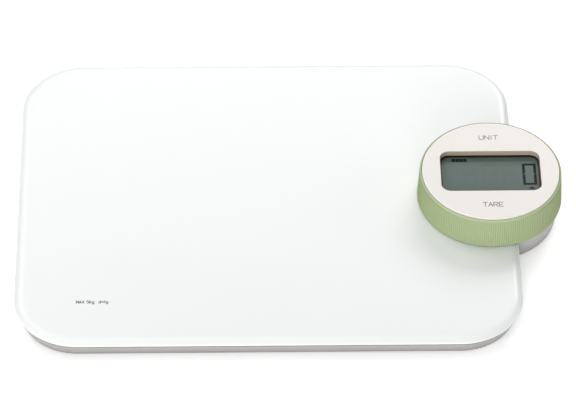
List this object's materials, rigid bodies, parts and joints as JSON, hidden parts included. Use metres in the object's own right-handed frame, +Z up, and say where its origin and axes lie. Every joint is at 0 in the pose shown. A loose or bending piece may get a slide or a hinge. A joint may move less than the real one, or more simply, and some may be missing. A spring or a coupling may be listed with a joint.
{
  "type": "digital gram scale",
  "caption": "Slim digital scale: rounded-rectangle weighing platform on a beam load cell, with a round ribbed display head that turns and a rocking face for its two buttons.",
  "frame": {"origin": "centre of the footprint's bounding box, on the table under the feet", "axes": "+Z up, -Y towards the user, +X towards the display head"},
  "size_m": [0.2624, 0.1914, 0.0293],
  "materials": {
    "housing_grey": "satin light-grey ABS",
    "platform_white": "high-gloss white ABS",
    "grip_green": "matte sage-green soft-touch sleeve",
    "face_white": "satin warm-white ABS",
    "feet_rubber": "matte dark rubber",
    "cell_aluminium": "milled",
    "gauge_foil": "etched foil on polyimide",
    "sealant": "white silicone",
    "plate_steel": "zinc-plated sheet",
    "screw_steel": "nickel-plated",
    "wire_jacket": "soft PVC",
    "cell_can": "nickel-plated can",
    "contact_spring": "nickel-plated spring strip",
    "bearing_plastic": "natural acetal",
    "inner_grey": "moulded ABS, spark-eroded texture",
    "spring_steel": "spring steel",
    "board_green": "solder mask on glass-epoxy",
    "chip_black": "moulded epoxy",
    "lcd_panel": "reflective twisted-nematic LCD",
    "mask_black": "black printed polyester film",
    "zebra_rubber": "layered conductive silicone",
    "plunger_white": "acetal"
  },
  "bodies": {
    "base": {"base_housing": "housing_grey", "rubber_feet": "feet_rubber", "load_cell": "cell_aluminium", "strain_gauges": "gauge_foil", "gauge_sealant": "sealant", "cell_base_spacer": "plate_steel", "cell_base_screws": "screw_steel", "sensor_cable": "wire_jacket", "battery": "cell_can", "battery_contact_positive": "contact_spring", "battery_contact_negative": "contact_spring", "battery_leads": "wire_jacket", "pod_top_plate": "inner_grey", "pod_plate_screws": "screw_steel", "thrust_washer": "bearing_plastic"},
    "platform": {"platform_shell": "platform_white", "carrier_plate": "plate_steel", "cell_platform_spacer": "plate_steel", "cell_platform_screws": "screw_steel"},
    "battery_door": {"battery_door": "housing_grey"},
    "head": {"head_cup": "inner_grey", "grip_ring": "grip_green", "retaining_clip": "spring_steel", "wave_washer": "spring_steel", "main_board": "board_green", "board_screws": "screw_steel", "microcontroller": "chip_black", "converter_chip": "chip_black", "crystal": "cell_can", "lcd_frame": "face_white", "lcd_glass": "lcd_panel", "lcd_mask": "mask_black", "zebra_strips": "zebra_rubber", "switch_housings": "chip_black", "head_lead": "wire_jacket"},
    "face": {"face_disc": "face_white"},
    "unit_plunger": {"unit_plunger": "plunger_white"},
    "tare_plunger": {"tare_plunger": "plunger_white"}
  },
  "joints": [
    {"name": "platform_load", "type": "slide", "parent": "base", "child": "platform", "axis": [0, 0, 1], "range_m": [-0.0004, 0], "deforming": ["load_cell", "strain_gauges", "gauge_sealant"]},
    {"name": "head_swivel", "type": "hinge", "parent": "base", "child": "head", "pos_m": [0.09625, 0, 0.0104], "axis": [0, 0, 1], "range_deg": [-90, 90]},
    {"name": "face_rock", "type": "hinge", "parent": "head", "child": "face", "pos_m": [0.09625, 0, 0.0224], "axis": [1, 0, 0], "range_deg": [-1, 1]},
    {"name": "unit_plunger_travel", "type": "slide", "parent": "head", "child": "unit_plunger", "axis": [0, 0, 1], "range_m": [-0.00045, 0.00045]},
    {"name": "tare_plunger_travel", "type": "slide", "parent": "head", "child": "tare_plunger", "axis": [0, 0, 1], "range_m": [-0.00045, 0.00045]},
    {"name": "battery_door_turn", "type": "hinge", "parent": "base", "child": "battery_door", "pos_m": [0.04085, 0, 0.0016], "axis": [0, 0, 1], "range_deg": [0, 60]}
  ],
  "couplings": [
    {"joint": "unit_plunger_travel", "follows": "face_rock", "m_per_rad": 0.024},
    {"joint": "tare_plunger_travel", "follows": "face_rock", "m_per_rad": -0.024}
  ]
}
